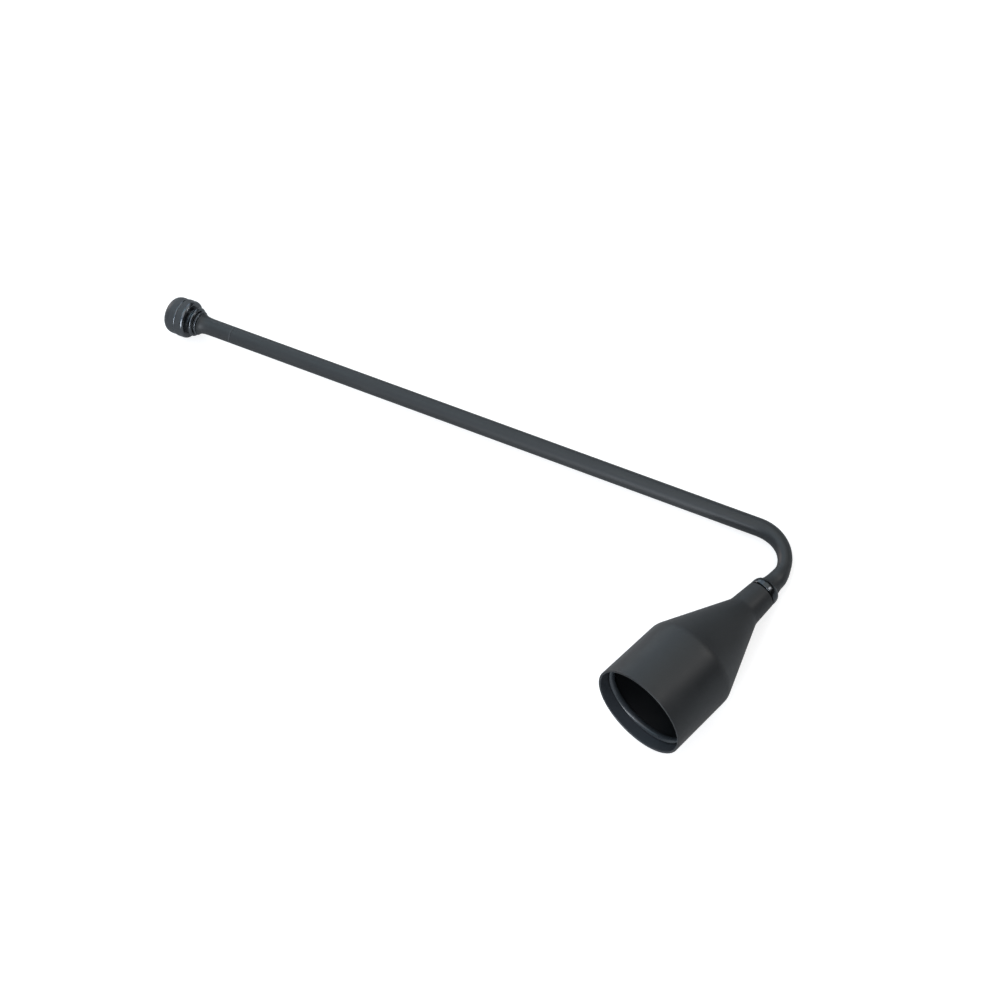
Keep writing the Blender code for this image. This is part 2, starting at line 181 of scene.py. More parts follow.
@dataclass(frozen=True)
class PowderCoat:
    """Matte black polyester powder, sprayed on steel and baked.

    The cured film flows into a shallow orange peel, with a finer grit in it that keeps it matte, and handling
    leaves faintly shinier patches. With metallic at one and next to no peel or grit, it is a lighter,
    glossier paint that paints the highlights on the knob's ridges and the collar.
    """

    name: str
    colour: str = "#232527"
    thin_colour: str = "#303335"
    roughness: float = 0.46
    roughness_spread: float = 0.07
    # Real grit is about 0.05 mm across. It is drawn coarser, so that it still shows in a close view.
    grit_mm: float = 0.16
    grit_depth_mm: float = 0.004
    peel_mm: float = 1.1
    peel_depth_mm: float = 0.012
    patch_mm: float = 14.0
    patch_cover: float = 0.35
    fleck_start: float = 0.62
    fleck_end: float = 0.8
    fleck_cover: float = 0.5
    metallic: float = 0.0
    ior: float = 1.5

    def material(self) -> bpy.types.Material:
        """Build the material.

        Returns:
            The material, ready for a piece.
        """
        material, tree = new_tree(self.name)
        place = add_node(tree, "TexCoord").outputs["Object"]
        sizes = ((self.patch_mm, 3.0), (self.peel_mm, 1.0), (self.grit_mm, 2.0))
        noises = [
            add_node(tree, "TexNoise", {"Vector": place, "Scale": per_metre(size), "Detail": detail})
            for size, detail in sizes
        ]
        patches, peel, grit = [noise.outputs["Fac"] for noise in noises]
        tint = add_node(
            tree,
            "MapRange",
            {
                "Value": patches,
                "From Min": NOISE_LOW,
                "From Max": NOISE_HIGH,
                "To Min": 0.0,
                "To Max": self.patch_cover,
            },
        )
        fleck = add_node(
            tree,
            "MapRange",
            {
                "Value": grit,
                "From Min": self.fleck_start,
                "From Max": self.fleck_end,
                "To Min": 0.0,
                "To Max": self.fleck_cover,
            },
        )
        cover = add_node(tree, "Math", {0: tint.outputs[0], 1: fleck.outputs[0]}, {"operation": "MAXIMUM"})
        colour = add_node(
            tree,
            "Mix",
            {"Factor": cover.outputs[0], "A": linear(self.colour), "B": linear(self.thin_colour)},
            {"data_type": "RGBA"},
        )
        gloss = add_node(
            tree,
            "MapRange",
            {
                "Value": patches,
                "From Min": NOISE_LOW,
                "From Max": NOISE_HIGH,
                "To Min": self.roughness - self.roughness_spread,
                "To Max": self.roughness + self.roughness_spread,
            },
        )
        waves = add_node(
            tree,
            "Bump",
            {"Height": peel, "Distance": self.peel_depth_mm * MM, "Strength": 1.0},
        )
        grain = add_node(
            tree,
            "Bump",
            {
                "Height": grit,
                "Distance": self.grit_depth_mm * MM,
                "Strength": 1.0,
                "Normal": waves.outputs["Normal"],
            },
        )
        shader = add_node(
            tree,
            "BsdfPrincipled",
            {
                "Base Color": colour.outputs["Result"],
                "Metallic": self.metallic,
                "Roughness": gloss.outputs[0],
                "IOR": self.ior,
                "Normal": grain.outputs["Normal"],
            },
        )
        add_node(tree, "OutputMaterial", {"Surface": shader.outputs["BSDF"]})
        return material


@dataclass(frozen=True)
class TurnedMetal:
    """Bare metal off the lathe or the press, with fine tool lines and a slightly cloudy tarnish."""

    name: str
    colour: str
    tarnish: str
    roughness: float = 0.32
    line_mm: float = 0.0377
    line_depth_mm: float = 0.003
    line_wobble: float = 0.6
    cloud_mm: float = 1.6
    bright_gain: float = 0.06
    dull_gain: float = 0.1

    def material(self) -> bpy.types.Material:
        """Build the material.

        Returns:
            The material, ready for a turned piece, whose UVs are in millimetres.
        """
        material, tree = new_tree(self.name)
        coordinates = add_node(tree, "TexCoord")
        cloud = add_node(
            tree, "TexNoise", {"Vector": coordinates.outputs["Object"], "Scale": per_metre(self.cloud_mm)}
        )
        lines = add_node(
            tree,
            "TexWave",
            {
                "Vector": coordinates.outputs["UV"],
                "Scale": WAVE_STEP / self.line_mm,
                "Distortion": self.line_wobble,
                "Detail": 1.0,
            },
            {"bands_direction": "Y"},
        )
        colour = add_node(
            tree,
            "Mix",
            {"Factor": cloud.outputs["Fac"], "A": linear(self.colour), "B": linear(self.tarnish)},
            {"data_type": "RGBA"},
        )
        gloss = add_node(
            tree,
            "MapRange",
            {
                "Value": cloud.outputs["Fac"],
                "To Min": self.roughness - self.bright_gain,
                "To Max": self.roughness + self.dull_gain,
            },
        )
        grooves = add_node(
            tree,
            "Bump",
            {"Height": lines.outputs["Fac"], "Distance": self.line_depth_mm * MM, "Strength": 1.0},
        )
        shader = add_node(
            tree,
            "BsdfPrincipled",
            {
                "Base Color": colour.outputs["Result"],
                "Metallic": 1.0,
                "Roughness": gloss.outputs[0],
                "Normal": grooves.outputs["Normal"],
            },
        )
        add_node(tree, "OutputMaterial", {"Surface": shader.outputs["BSDF"]})
        return material


# The bar's coat is an even charcoal black with a soft, wide sheen.
ROD_COAT = PowderCoat("black_powder_coat_on_bar")
# The knob's coat is a shade paler and flatter than the bar's.
KNOB_COAT = PowderCoat(
    "black_powder_coat_on_turned_knob", colour="#303336", thin_colour="#3c3f42", roughness=0.54
)
# A lighter, glossier metallic paint on the knob's ridges paints thin bright highlight streaks, with nearly
# black gaps between them.
RIDGE_HIGHLIGHT_PAINT = PowderCoat(
    "painted_highlight_on_knob_ridges",
    colour="#585b5f",
    thin_colour="#626568",
    roughness=0.27,
    roughness_spread=0.02,
    grit_depth_mm=0.0003,
    peel_depth_mm=0.002,
    metallic=1.0,
)
# A paler coat paints a faint highlight as a pale line round the end of the ferrule.
FERRULE_END_HIGHLIGHT_PAINT = PowderCoat(
    "painted_highlight_at_ferrule_end", colour="#35383b", thin_colour="#3d4043", roughness=0.5
)
# A lighter, glossier metallic paint on the collar's dome paints one small bright highlight spot beside a dark
# seam.
COLLAR_HIGHLIGHT_PAINT = PowderCoat(
    "painted_highlight_on_collar",
    colour="#434649",
    thin_colour="#4b4e51",
    roughness=0.22,
    roughness_spread=0.03,
    grit_depth_mm=0.001,
    peel_depth_mm=0.004,
    metallic=1.0,
)
# The bell's coat is the darkest of the outer ones, with a soft sheen that turns from cone to skirt.
BELL_COAT = PowderCoat(
    "black_powder_coat_on_spun_bell", colour="#1d1f21", thin_colour="#292b2d", roughness=0.5
)
# A paler blue-grey paint paints the light that the inside of the lip catches, as a band.
LIP_PAINTED_LIGHT = PowderCoat("painted_light_inside_lip", colour="#3a3e43", thin_colour="#43474c", roughness=0.4)
# The sleeve's black coat is darkened further, which paints the shade that makes the hollow nearly black.
SLEEVE_COAT_AND_PAINTED_SHADE = PowderCoat(
    "black_coat_and_painted_shade_on_sleeve", colour="#0b0c0e", thin_colour="#101214", roughness=0.5
)
# The sleeve's bead is smoother, and a lighter coat on it paints the bright arc of light it catches in the
# dark mouth.
BEAD_PAINTED_LIGHT = PowderCoat(
    "painted_light_on_rolled_bead", colour="#33373b", thin_colour="#3d4145", roughness=0.26
)
# The swivel's bare metals are dulled by heat and soot, with fine tool lines round them.
BRASS = TurnedMetal("turned_brass", colour="#c9a562", tarnish="#a07f45")
STEEL = TurnedMetal("pressed_steel", colour="#a9abad", tarnish="#8b8c8e")
ZINC = TurnedMetal("zinc_plated_steel", colour="#b9bcbd", tarnish="#979a98", roughness=0.38)


@dataclass(frozen=True)
class Spindle:
    """A line in the frame that turned pieces are centred on, with distances counted from its start."""

    start: Vector
    direction: Vector

    def matrix(self) -> Matrix:
        """Give the transform that lays the Z axis along the spindle."""
        turn = Vector((0, 0, 1)).rotation_difference(self.direction)
        return Matrix.Translation(self.start) @ turn.to_matrix().to_4x4()

    def at(self, distance_mm: float) -> Vector:
        """Give the point at a distance along the spindle."""
        return self.start + self.direction * (distance_mm * MM)


@dataclass(frozen=True)
class Axes:
    """The snuffer's two axes, found in the frame from the bell's hinge, its lip and the knob."""

    mouth_mm: float = 68.803
    handle_mm: float = 200.55

    def bell(self) -> Spindle:
        """Find the bell's axis.

        Returns:
            A spindle from the crossing point to the mouth.
        """
        hinge = frame["joints"][0]
        lip = next(mount for mount in frame["record"]["mounts"] if mount["name"] == "mouth_lip")
        pivot = Vector(hinge["pos_m"])
        direction = Vector(hinge["axis"]).normalized()
        to_mouth = (Vector(lip["pos_m"]) - pivot).dot(direction)
        crossing = pivot + direction * (to_mouth - self.mouth_mm * MM)
        return Spindle(crossing, direction)

    def handle(self) -> Spindle:
        """Find the handle's axis.

        Returns:
            A spindle from the knob's end face to the crossing point.
        """
        low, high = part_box("knob_band")
        crossing = self.bell().start
        outward = ((low + high) / 2 - crossing).normalized()
        return Spindle(crossing + outward * (self.handle_mm * MM), -outward)


def rounded(corners: Sequence[Corner]) -> list[Point]:
    """Round the corners of an outline.

    Args:
        corners: distance along the spindle, radius, and the fillet there, each in millimetres.

    Returns:
        The outline's points, with an arc in place of each corner that has a fillet.
    """
    points: list[Point] = []
    last = len(corners) - 1
    for index, (along, radius, fillet) in enumerate(corners):
        corner = Vector((along, radius))
        if fillet <= 0 or index in (0, last):
            points.append((along, radius))
            continue
        back = (Vector(corners[index - 1][:2]) - corner).normalized()
        onward = (Vector(corners[index + 1][:2]) - corner).normalized()
        half_angle = back.angle(onward) / 2
        centre = corner + (back + onward).normalized() * (fillet / math.sin(half_angle))
        reach = fillet / math.tan(half_angle)
        start = corner + back * reach - centre
        end = corner + onward * reach - centre
        steps = max(2, math.ceil(math.degrees(start.angle(end)) / ARC_STEP_DEG))
        points += [tuple(centre + fillet * start.slerp(end, step / steps)) for step in range(steps + 1)]
    return points


def quarter(centre: Point, along: float, across: float, start_deg: float, end_deg: float) -> list[Point]:
    """Give points on an ellipse.

    Args:
        centre: distance along the spindle and radius of the ellipse's centre.
        along: half its width along the spindle.
        across: half its width across the spindle.
        start_deg: first angle, where 0 points outwards and 90 points along the spindle.
        end_deg: last angle.

    Returns:
        The points, both ends included.
    """
    steps = max(2, math.ceil(abs(end_deg - start_deg) / ARC_STEP_DEG))
    points = []
    for step in range(steps + 1):
        angle = math.radians(start_deg + (end_deg - start_deg) * step / steps)
        points.append((centre[0] + along * math.sin(angle), centre[1] + across * math.cos(angle)))
    return points


def smooth_with_creases(mesh: bpy.types.Mesh) -> None:
    """Shade a mesh smooth, with creases where its faces meet sharply."""
    mesh.shade_smooth()
    mesh.set_sharp_from_angle(angle=math.radians(SHARP_DEG))


def turn(name: str, outline: Sequence[Point], spindle: Spindle, sides: int) -> bpy.types.Object:
    """Turn an outline about a spindle.

    Args:
        name: the piece's name.
        outline: distance along the spindle and radius, in millimetres. It closes on itself, or on the
            spindle where its first radius is zero.
        spindle: the line to turn about.
        sides: how many steps go round.

    Returns:
        The piece, with its place in its mesh, and with distances in millimetres round and along it as UVs.
    """
    build = bmesh.new()
    corners = [build.verts.new((radius * MM, 0, along * MM)) for along, radius in outline]
    edges = [build.edges.new(pair) for pair in zip(corners, corners[1:])]
    if outline[0][1] > 0:
        edges.append(build.edges.new((corners[-1], corners[0])))
    bmesh.ops.spin(
        build,
        geom=corners + edges,
        cent=(0, 0, 0),
        axis=(0, 0, 1),
        angle=math.tau,
        steps=sides,
        use_merge=True,
    )
    bmesh.ops.remove_doubles(build, verts=build.verts, dist=WELD_MM * MM)
    bmesh.ops.recalc_face_normals(build, faces=build.faces)
    layer = build.loops.layers.uv.new("turned_mm")
    for face in build.faces:
        middle = face.calc_center_median()
        middle_angle = math.atan2(middle.y, middle.x)
        for loop in face.loops:
            place = loop.vert.co
            offset = math.atan2(place.y, place.x) - middle_angle
            angle = middle_angle + (offset + math.pi) % math.tau - math.pi
            reach = math.hypot(place.x, place.y)
            loop[layer].uv = (angle * reach / MM, (place.z - reach) / MM)
    mesh = bpy.data.meshes.new(name)
    build.to_mesh(mesh)
    build.free()
    mesh.transform(spindle.matrix())
    smooth_with_creases(mesh)
    piece = bpy.data.objects.new(name, mesh)
    bpy.context.scene.collection.objects.link(piece)
    return piece


def dress(
    piece: bpy.types.Object, material: bpy.types.Material, body: Body, node: str
) -> None:
    """Give a piece its finish and its place in the frame.

    Args:
        piece: the finished mesh.
        material: what it is coated with or made of.
        body: the body that it moves with.
        node: the CAD node that it stands for.
    """
    piece.data.materials.clear()
    piece.data.materials.append(material)
    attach(piece, body.value)
    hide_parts(node)
    log.info("%s stands for %s and rides on %s", piece.name, node, body.value)


def recoat(
    piece: bpy.types.Object, material: bpy.types.Material, spindle: Spindle, span: Point, widest: float
) -> None:
    """Give part of a turned piece another finish.

    Args:
        piece: the dressed piece.
        material: the other finish.
        spindle: the line that it was turned about.
        span: where the part starts and ends along the spindle, in millimetres.
        widest: the greatest radius at which a face still belongs to the part, in millimetres.
    """
    piece.data.materials.append(material)
    for face in piece.data.polygons:
        offset = face.center - spindle.start
        along = offset.dot(spindle.direction)
        radius = (offset - spindle.direction * along).length
        if span[0] * MM <= along <= span[1] * MM and radius <= widest * MM:
            face.material_index = 1


@dataclass
class Bar:
    """The round bar: a spigot in the knob, the long shank, the bend with its drawn-in waist, and the stud."""

    axes: Axes
    radius: float = 2.48
    bend_radius: float = 11.16
    waist_drop: float = 0.56
    waist_deg: float = 80.0
    flare_length: float = 3.03
    flare_rise: float = 0.55
    flare_sharpness: float = 1.5
    shoulder: float = 22.08
    shoulder_edge: float = 0.06
    step_length: float = 0.01
    spigot_radius: float = 1.6
    spigot_end: float = 2.9
    stud_radius: float = 1.5
    stud_end: float = 34.152
    sides: int = 64
    bend_steps: int = 60
    flare_steps: int = 8

    def bend_radius_at(self, angle: float, bend: float) -> float:
        """Give the bar's radius at an angle into the bend.

        Args:
            angle: how far round the bend, in radians.
            bend: the whole bend, in radians.

        Returns:
            The radius in millimetres, least at the waist.
        """
        waist = math.radians(self.waist_deg)
        phase = angle / waist if angle < waist else 1 + (angle - waist) / (bend - waist)
        return self.radius - self.waist_drop * (1 - math.cos(math.pi * phase)) / 2

    def stations(self) -> list[tuple[Vector, float]]:
        """List where the bar's section is set.

        Returns:
            Centre points in metres, each with a radius in millimetres, from the spigot to the stud.
        """
        handle = self.axes.handle()
        bell = self.axes.bell()
        crossing = bell.start
        outward = -handle.direction
        between = outward.angle(bell.direction)
        bend = math.pi - between
        tangent = self.bend_radius / math.tan(between / 2)
        edge = self.shoulder_edge
        stations = [
            (handle.at(self.spigot_end), self.spigot_radius),
            (handle.at(self.shoulder), self.spigot_radius),
            (handle.at(self.shoulder + self.step_length), self.radius - edge),
            (handle.at(self.shoulder + edge), self.radius),
        ]
        centre = crossing + (outward + bell.direction).normalized() * (
            self.bend_radius * MM / math.sin(between / 2)
        )
        spoke = crossing + outward * (tangent * MM) - centre
        hinge = spoke.cross(handle.direction).normalized()
        for step in range(self.bend_steps + 1):
            angle = bend * step / self.bend_steps
            place = centre + Matrix.Rotation(angle, 3, hinge) @ spoke
            stations.append((place, self.bend_radius_at(angle, bend)))
        for step in range(1, self.flare_steps + 1):
            share = step / self.flare_steps
            rise = self.flare_rise * share ** self.flare_sharpness
            stations.append((bell.at(tangent + self.flare_length * share), self.radius + rise))
        stations.append((bell.at(tangent + self.flare_length + self.step_length), self.stud_radius))
        stations.append((bell.at(self.stud_end), self.stud_radius))
        return stations

    def build(self) -> None:
        """Sweep the bar and dress it."""
        curve = bpy.data.curves.new("bar_line", "CURVE")
        curve.dimensions = "3D"
        curve.bevel_depth = self.radius * MM
        # A round bevel has four sides more than twice its resolution.
        curve.bevel_resolution = self.sides // 2 - 2
        curve.use_fill_caps = True
        stations = self.stations()
        spline = curve.splines.new("POLY")
        spline.points.add(len(stations) - 1)
        for point, (place, radius) in zip(spline.points, stations):
            point.co = (*place, 1)
            point.radius = radius / self.radius
        line = bpy.data.objects.new("bar_line", curve)
        bpy.context.scene.collection.objects.link(line)
        depsgraph = bpy.context.evaluated_depsgraph_get()
        mesh = bpy.data.meshes.new_from_object(line.evaluated_get(depsgraph))
        bpy.data.objects.remove(line)
        build = bmesh.new()
        build.from_mesh(mesh)
        bmesh.ops.remove_doubles(build, verts=build.verts, dist=WELD_MM * MM)
        build.to_mesh(mesh)
        build.free()
        mesh.name = "bar"
        smooth_with_creases(mesh)
        bar = bpy.data.objects.new("bar", mesh)
        bpy.context.scene.collection.objects.link(bar)
        dress(bar, ROD_COAT.material(), Body.HANDLE, "handle_rod")


@dataclass
class Knob:
    """The turned knob: a domed cap, a broad band, two bead rings and a trumpet ferrule.

    Distances run from the knob's end face towards the bell.
    """

    axes: Axes
    bore: float = 1.9
    seam: float = 0.03
    cap_radius: float = 5.44
    cap_crown: float = 0.4
    cap_edge_length: float = 2.66
    cap_edge_width: float = 2.55
    cap_socket: float = 2.6
    cap_steps: int = 8
    cap_rim_length: float = 0.45
    cap_rim_drop: float = 0.2
    band_start: float = 5.0
    band_radius: float = 5.56
    band_front_edge: float = 0.15
    band_shoulder_length: float = 1.1
    band_shoulder_width: float = 0.58
    band_neck_start: float = 7.9
    band_neck_radius: float = 3.95
    large_bead: tuple[float, float, float] = (8.7, 9.95, 4.3)
    large_land: float = 3.2
    small_bead: tuple[float, float, float] = (10.25, 10.9, 3.58)
    small_land: float = 3.0
    ferrule_start: float = 11.2
    ferrule_end: float = 22.05
    ferrule_shank: float = 2.48
    ferrule_mouth_rise: float = 0.65
    ferrule_fade: float = 0.9
    ferrule_flare: float = 4.2
    ferrule_end_length: float = 0.3
    ferrule_end_drop: float = 0.05
    ferrule_highlight_length: float = 0.45
    ferrule_steps: int = 24
    ferrule_crowding: float = 1.5
    coat: bpy.types.Material = field(default_factory=KNOB_COAT.material)
    ridge_highlight_paint: bpy.types.Material = field(default_factory=RIDGE_HIGHLIGHT_PAINT.material)

    def add(self, name: str, outline: Sequence[Point], node: str, ridge: Point) -> None:
        """Turn and dress one ring of the knob.

        Args:
            name: the piece's name.
            outline: its outline.
            node: the CAD node that it stands for.
            ridge: where its ridge starts and ends, which gets the lighter paint that paints its highlight.
        """
        spindle = self.axes.handle()
        piece = turn(name, outline, spindle, KNOB_SIDES)
        dress(piece, self.coat, Body.HANDLE, node)
        # The ridge gets the lighter, glossier paint that paints its highlight.
        recoat(piece, self.ridge_highlight_paint, spindle, ridge, self.band_radius)

    def cap(self) -> None:
        """Build the domed cap, whose rim meets the band at a hairline."""
        face_radius = self.cap_radius - self.cap_edge_width
        shares = [step / self.cap_steps for step in range(self.cap_steps)]
        crown = [(self.cap_crown * share ** 2, face_radius * share) for share in shares]
        edge_centre = (self.cap_crown + self.cap_edge_length, face_radius)
        edge = quarter(edge_centre, self.cap_edge_length, self.cap_edge_width, -90, 0)
        end = self.band_start - self.seam
        rim_centre = (end - self.cap_rim_length, self.cap_radius - self.cap_rim_drop)
        rim = quarter(rim_centre, self.cap_rim_length, self.cap_rim_drop, 0, 90)
        socket = [(end, self.bore), (self.cap_socket, self.bore), (self.cap_socket, 0)]
        self.add("knob_cap", crown + edge + rim + socket, "end_cap", (rim_centre[0], end))

    def band(self) -> None:
        """Build the broad band, its rounded shoulder and the short neck behind it."""
        front = quarter(
            (self.band_start + self.band_front_edge, self.band_radius - self.band_front_edge),
            self.band_front_edge,
            self.band_front_edge,
            -90,
            0,
        )
        shoulder = quarter(
            (self.band_neck_start - self.band_shoulder_length, self.band_radius - self.band_shoulder_width),
            self.band_shoulder_length,
            self.band_shoulder_width,
            0,
            90,
        )
        end = self.large_bead[0] - self.seam
        inner = [
            (self.band_neck_start, self.band_neck_radius),
            (end, self.band_neck_radius),
            (end, self.bore),
            (self.band_start, self.bore),
        ]
        ridge = (self.band_neck_start - self.band_shoulder_length, end)
        self.add("knob_broad_band", front + shoulder + inner, "knob_band", ridge)

    def bead(self, name: str, size: tuple[float, float, float], land: Point, node: str) -> None:
        """Build one bead ring and the low land behind it, which closes the joint to the next piece.

        Args:
            name: the piece's name.
            size: where the bead starts and ends, and its radius.
            land: where the land ends, and its radius.
            node: the CAD node that it stands for.
        """
        start, end, radius = size
        rim = (end - start) / 2
        outline = quarter((start + rim, radius - rim), rim, rim, -90, 90)
        outline += [(end, land[1]), land, (land[0], self.bore), (start, self.bore)]
        self.add(name, outline, node, (start, end))

    def ferrule(self) -> None:
        """Build the trumpet that fades into the bar's own thickness."""
        start = self.small_bead[1] + 2 * self.seam
        outline: list[Point] = [(start, self.ferrule_shank + self.ferrule_mouth_rise)]
        for step in range(self.ferrule_steps + 1):
            depth = self.ferrule_flare * (step / self.ferrule_steps) ** self.ferrule_crowding
            rise = self.ferrule_mouth_rise * math.exp(-depth / self.ferrule_fade)
            outline.append((self.ferrule_start + depth, self.ferrule_shank + rise))
        highlight_span = (self.ferrule_end - self.ferrule_highlight_length, self.ferrule_end)
        outline.append((highlight_span[0], self.ferrule_shank))
        rim_centre = (self.ferrule_end - self.ferrule_end_length, self.ferrule_shank - self.ferrule_end_drop)
        outline += quarter(rim_centre, self.ferrule_end_length, self.ferrule_end_drop, 0, 90)
        outline += [(self.ferrule_end, self.bore), (start, self.bore)]
        spindle = self.axes.handle()
        piece = turn("knob_ferrule", outline, spindle, KNOB_SIDES)
        dress(piece, ROD_COAT.material(), Body.HANDLE, "ferrule")
        # The end of the ferrule gets a paler coat that paints a faint highlight.
        recoat(piece, FERRULE_END_HIGHLIGHT_PAINT.material(), spindle, highlight_span, self.ferrule_shank)

    def build(self) -> None:
        """Build every ring of the knob."""
        self.cap()
        self.band()
        large_land = (self.small_bead[0] - self.seam, self.large_land)
        small_land = (self.small_bead[1] + self.seam, self.small_land)
        self.bead("knob_large_bead", self.large_bead, large_land, "bead_ring_large")
        self.bead("knob_small_bead", self.small_bead, small_land, "bead_ring_small")
        self.ferrule()


@dataclass
class Collar:
    """The domed collar at the foot of the bar, just above the bell."""

    axes: Axes
    top: float = 17.943
    bottom: float = 20.593
    bore: float = 1.8
    top_radius: float = 3.09
    radius: float = 3.98
    dome_length: float = 1.7
    lower_edge: float = 0.35

    def build(self) -> None:
        """Turn the collar and dress it."""
        dome = quarter(
            (self.top + self.dome_length, self.top_radius),
            self.dome_length,
            self.radius - self.top_radius,
            -90,
            0,
        )
        foot = quarter(
            (self.bottom - self.lower_edge, self.radius - self.lower_edge),
            self.lower_edge,
            self.lower_edge,
            0,
            90,
        )
        outline = dome + foot + [(self.bottom, self.bore), (self.top, self.bore)]
        piece = turn("swivel_collar", outline, self.axes.bell(), KNOB_SIDES)
        # The collar gets the lighter, glossier paint that paints its highlight spot.
        dress(piece, COLLAR_HIGHLIGHT_PAINT.material(), Body.HANDLE, "neck_collar")


@dataclass
class Bell:
    """The spun bell and the sleeve that lines its skirt, with distances from where the two axes cross."""

    axes: Axes
    neck_top: float = 20.893
    neck_top_radius: float = 4.02
    neck_edge: float = 0.2
    neck_base: float = 28.193
    neck_base_radius: float = 4.52
    neck_fillet: float = 5.0
    shoulder: float = 49.123
    shoulder_radius: float = 12.944
    shoulder_fillet: float = 6.0
    mouth: float = 68.803
    mouth_radius: float = 13.134
    lip_edge: float = 0.28
    skirt_wall: float = 0.6
    cavity_top: float = 28.952
    cavity_top_radius: float = 3.65
    inner_shoulder: float = 50.578
    inner_fillet: float = 2.0
    bore: float = 2.8
    sleeve_start: float = 50.878
    sleeve_gap: float = 0.3
    sleeve_wall: float = 0.5
    sleeve_front: float = 65.853
    bead_height: float = 0.8
    bead_length: float = 2.0

    def inner_skirt_radius(self, distance: float) -> float:
        """Give the skirt's inner radius at a distance along the bell's axis."""
        share = (distance - self.shoulder) / (self.mouth - self.shoulder)
        return self.shoulder_radius + (self.mouth_radius - self.shoulder_radius) * share - self.skirt_wall

    def shell(self) -> None:
        """Turn the bell's shell and dress it."""
        corners = [
            (self.neck_top, self.bore, 0),
            (self.neck_top, self.neck_top_radius, self.neck_edge),
            (self.neck_base, self.neck_base_radius, self.neck_fillet),
            (self.shoulder, self.shoulder_radius, self.shoulder_fillet),
            (self.mouth, self.mouth_radius, self.lip_edge),
            (self.mouth, self.mouth_radius - self.skirt_wall, self.lip_edge),
            (self.sleeve_front, self.inner_skirt_radius(self.sleeve_front), 0),
            (self.inner_shoulder, self.inner_skirt_radius(self.inner_shoulder), self.inner_fillet),
            (self.cavity_top, self.cavity_top_radius, 0),
            (self.cavity_top, self.bore, 0),
        ]
        piece = turn("bell_skin", rounded(corners), self.axes.bell(), BELL_SIDES)
        dress(piece, BELL_COAT.material(), Body.BELL, "bell_shell")
        # The inside of the lip gets the paler paint that paints the light it catches.
        inner = self.inner_skirt_radius(self.mouth) + self.lip_edge / 2
        recoat(piece, LIP_PAINTED_LIGHT.material(), self.axes.bell(), (self.sleeve_front, self.mouth), inner)

    def sleeve(self) -> None:
        """Turn the sleeve with the low bead on its edge, and dress it."""
        start_radius = self.inner_skirt_radius(self.sleeve_start) - self.sleeve_gap
        bead = self.sleeve_front - self.bead_length / 2
        bead_centre = (bead, self.inner_skirt_radius(bead) - self.sleeve_gap)
        back_deg = 180 + math.degrees(math.acos(self.sleeve_wall / self.bead_height))
        outline = [(self.sleeve_start, start_radius)]
        outline += quarter(bead_centre, self.bead_length / 2, self.bead_height, 90, back_deg)
        outline.append((self.sleeve_start, start_radius - self.sleeve_wall))
        piece = turn("bell_beaded_sleeve", outline, self.axes.bell(), BELL_SIDES)
        # The sleeve's darkened coat paints the shade deep in the hollow.
        dress(piece, SLEEVE_COAT_AND_PAINTED_SHADE.material(), Body.BELL, "bell_sleeve")
        # The bead gets a lighter coat that paints the light it catches.
        span = (self.sleeve_front - self.bead_length, self.sleeve_front)
        recoat(piece, BEAD_PAINTED_LIGHT.material(), self.axes.bell(), span, self.mouth_radius)

    def build(self) -> None:
        """Build the shell and its sleeve."""
        self.shell()
        self.sleeve()


